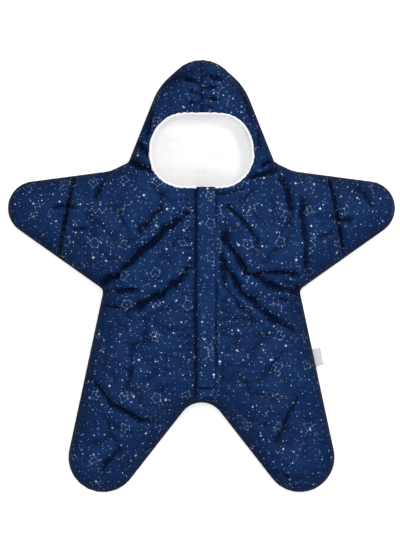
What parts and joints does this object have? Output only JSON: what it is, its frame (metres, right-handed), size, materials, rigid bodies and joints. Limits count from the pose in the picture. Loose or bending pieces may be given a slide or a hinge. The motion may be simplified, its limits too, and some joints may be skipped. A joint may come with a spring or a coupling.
{
  "type": "baby sleeping bag",
  "caption": "Padded star-shaped wearable baby sleeping bag with a hood, closed sleeves with fold-back hand covers, closed legs and a zipped front under a flap.",
  "frame": {"origin": "on the rest face, under the centre of the bag's outline", "axes": "+Z out of the chest, +Y towards the hood, +X towards the wearer's left"},
  "size_m": [0.691, 0.7707, 0.0712],
  "materials": {
    "printed_cotton": "matte",
    "white_cotton": "matte",
    "wadding": "matte",
    "binding": "matte",
    "zip_tape": "matte",
    "zip_teeth": "satin",
    "zip_metal": "satin",
    "woven_label": "satin",
    "elastic": "matte"
  },
  "bodies": {
    "torso": {"back_outer": "printed_cotton", "front_side_left_outer": "printed_cotton", "front_side_right_outer": "printed_cotton", "body_wadding": "wadding", "body_lining": "white_cotton", "placket_tail": "printed_cotton", "zip_bottom_stop": "zip_metal"},
    "hood": {"hood_front_left_outer": "printed_cotton", "hood_front_right_outer": "printed_cotton", "hood_back_outer": "printed_cotton", "hood_wadding": "wadding", "hood_lining": "white_cotton", "face_binding": "binding"},
    "sleeve_left": {"sleeve_front_left_outer": "printed_cotton", "sleeve_back_left_outer": "printed_cotton", "sleeve_left_wadding": "wadding", "sleeve_left_lining": "white_cotton"},
    "hand_cover_left": {"hand_cover_left_outer": "printed_cotton", "hand_cover_left_wadding": "wadding", "hand_cover_left_lining": "white_cotton", "hand_elastic_left": "elastic"},
    "leg_left": {"leg_front_left_outer": "printed_cotton", "leg_back_left_outer": "printed_cotton", "leg_left_wadding": "wadding", "leg_left_lining": "white_cotton"},
    "front_left": {"front_left_outer": "printed_cotton", "front_left_wadding": "wadding", "front_left_lining": "white_cotton", "neck_binding_left": "binding", "zip_tape_left": "zip_tape", "zip_teeth_left": "zip_teeth", "zip_top_stop_left": "zip_metal"},
    "sleeve_right": {"sleeve_front_right_outer": "printed_cotton", "sleeve_back_right_outer": "printed_cotton", "sleeve_right_wadding": "wadding", "sleeve_right_lining": "white_cotton"},
    "hand_cover_right": {"hand_cover_right_outer": "printed_cotton", "hand_cover_right_wadding": "wadding", "hand_cover_right_lining": "white_cotton", "hand_elastic_right": "elastic"},
    "leg_right": {"leg_front_right_outer": "printed_cotton", "leg_back_right_outer": "printed_cotton", "leg_right_wadding": "wadding", "leg_right_lining": "white_cotton"},
    "front_right": {"front_right_outer": "printed_cotton", "front_right_wadding": "wadding", "front_right_lining": "white_cotton", "neck_binding_right": "binding", "zip_tape_right": "zip_tape", "zip_teeth_right": "zip_teeth", "zip_top_stop_right": "zip_metal"},
    "flap": {"placket_flap": "printed_cotton"},
    "slider": {"zip_slider": "zip_metal"},
    "puller": {"zip_puller": "zip_metal"},
    "label": {"side_label": "woven_label"}
  },
  "joints": [
    {"name": "hood_fold", "type": "hinge", "parent": "torso", "child": "hood", "pos_m": [0, 0.185, 0.066], "axis": [1, 0, 0], "range_deg": [0, 75]},
    {"name": "sleeve_left_lift", "type": "hinge", "parent": "torso", "child": "sleeve_left", "pos_m": [0.1305, 0.203, 0.066], "axis": [0.192, -0.9814, 0], "range_deg": [0, 75]},
    {"name": "sleeve_right_lift", "type": "hinge", "parent": "torso", "child": "sleeve_right", "pos_m": [-0.1305, 0.203, 0.066], "axis": [0.192, 0.9814, 0], "range_deg": [0, 75]},
    {"name": "hand_cover_left_open", "type": "hinge", "parent": "sleeve_left", "child": "hand_cover_left", "pos_m": [0.34795, 0.13128, 0.016], "axis": [-0.1909, 0.9816, 0], "range_deg": [0, 30]},
    {"name": "hand_cover_right_open", "type": "hinge", "parent": "sleeve_right", "child": "hand_cover_right", "pos_m": [-0.34795, 0.13128, 0.016], "axis": [-0.1909, -0.9816, 0], "range_deg": [0, 30]},
    {"name": "leg_left_lift", "type": "hinge", "parent": "torso", "child": "leg_left", "pos_m": [0, -0.226, 0.066], "axis": [-0.9673, -0.2536, 0], "range_deg": [0, 75]},
    {"name": "leg_right_lift", "type": "hinge", "parent": "torso", "child": "leg_right", "pos_m": [0, -0.226, 0.066], "axis": [-0.9673, 0.2536, 0], "range_deg": [0, 75]},
    {"name": "front_left_open", "type": "hinge", "parent": "torso", "child": "front_left", "pos_m": [0.083, 0.185, 0.066], "axis": [0.1534, 0.9882, 0], "range_deg": [0, 140]},
    {"name": "front_right_open", "type": "hinge", "parent": "torso", "child": "front_right", "pos_m": [-0.083, 0.185, 0.066], "axis": [0.1534, -0.9882, 0], "range_deg": [0, 140]},
    {"name": "flap_turn_back", "type": "hinge", "parent": "front_right", "child": "flap", "pos_m": [-0.009, 0, 0.0712], "axis": [0, 1, 0], "range_deg": [-150, 0]},
    {"name": "zip_slide", "type": "slide", "parent": "front_left", "child": "slider", "axis": [0, -1, 0], "range_m": [0, 0.3284]},
    {"name": "puller_swing", "type": "hinge", "parent": "slider", "child": "puller", "pos_m": [0, 0.144, 0.066], "axis": [0, 0, 1], "range_deg": [-95, 75]},
    {"name": "label_flip", "type": "hinge", "parent": "torso", "child": "label", "pos_m": [0.20111, -0.146, 0.016], "axis": [0.2101, -0.9777, 0], "range_deg": [-60, 60]}
  ],
  "couplings": [
    {"joint": "front_right_open", "follows": "front_left_open", "ratio": 1}
  ]
}
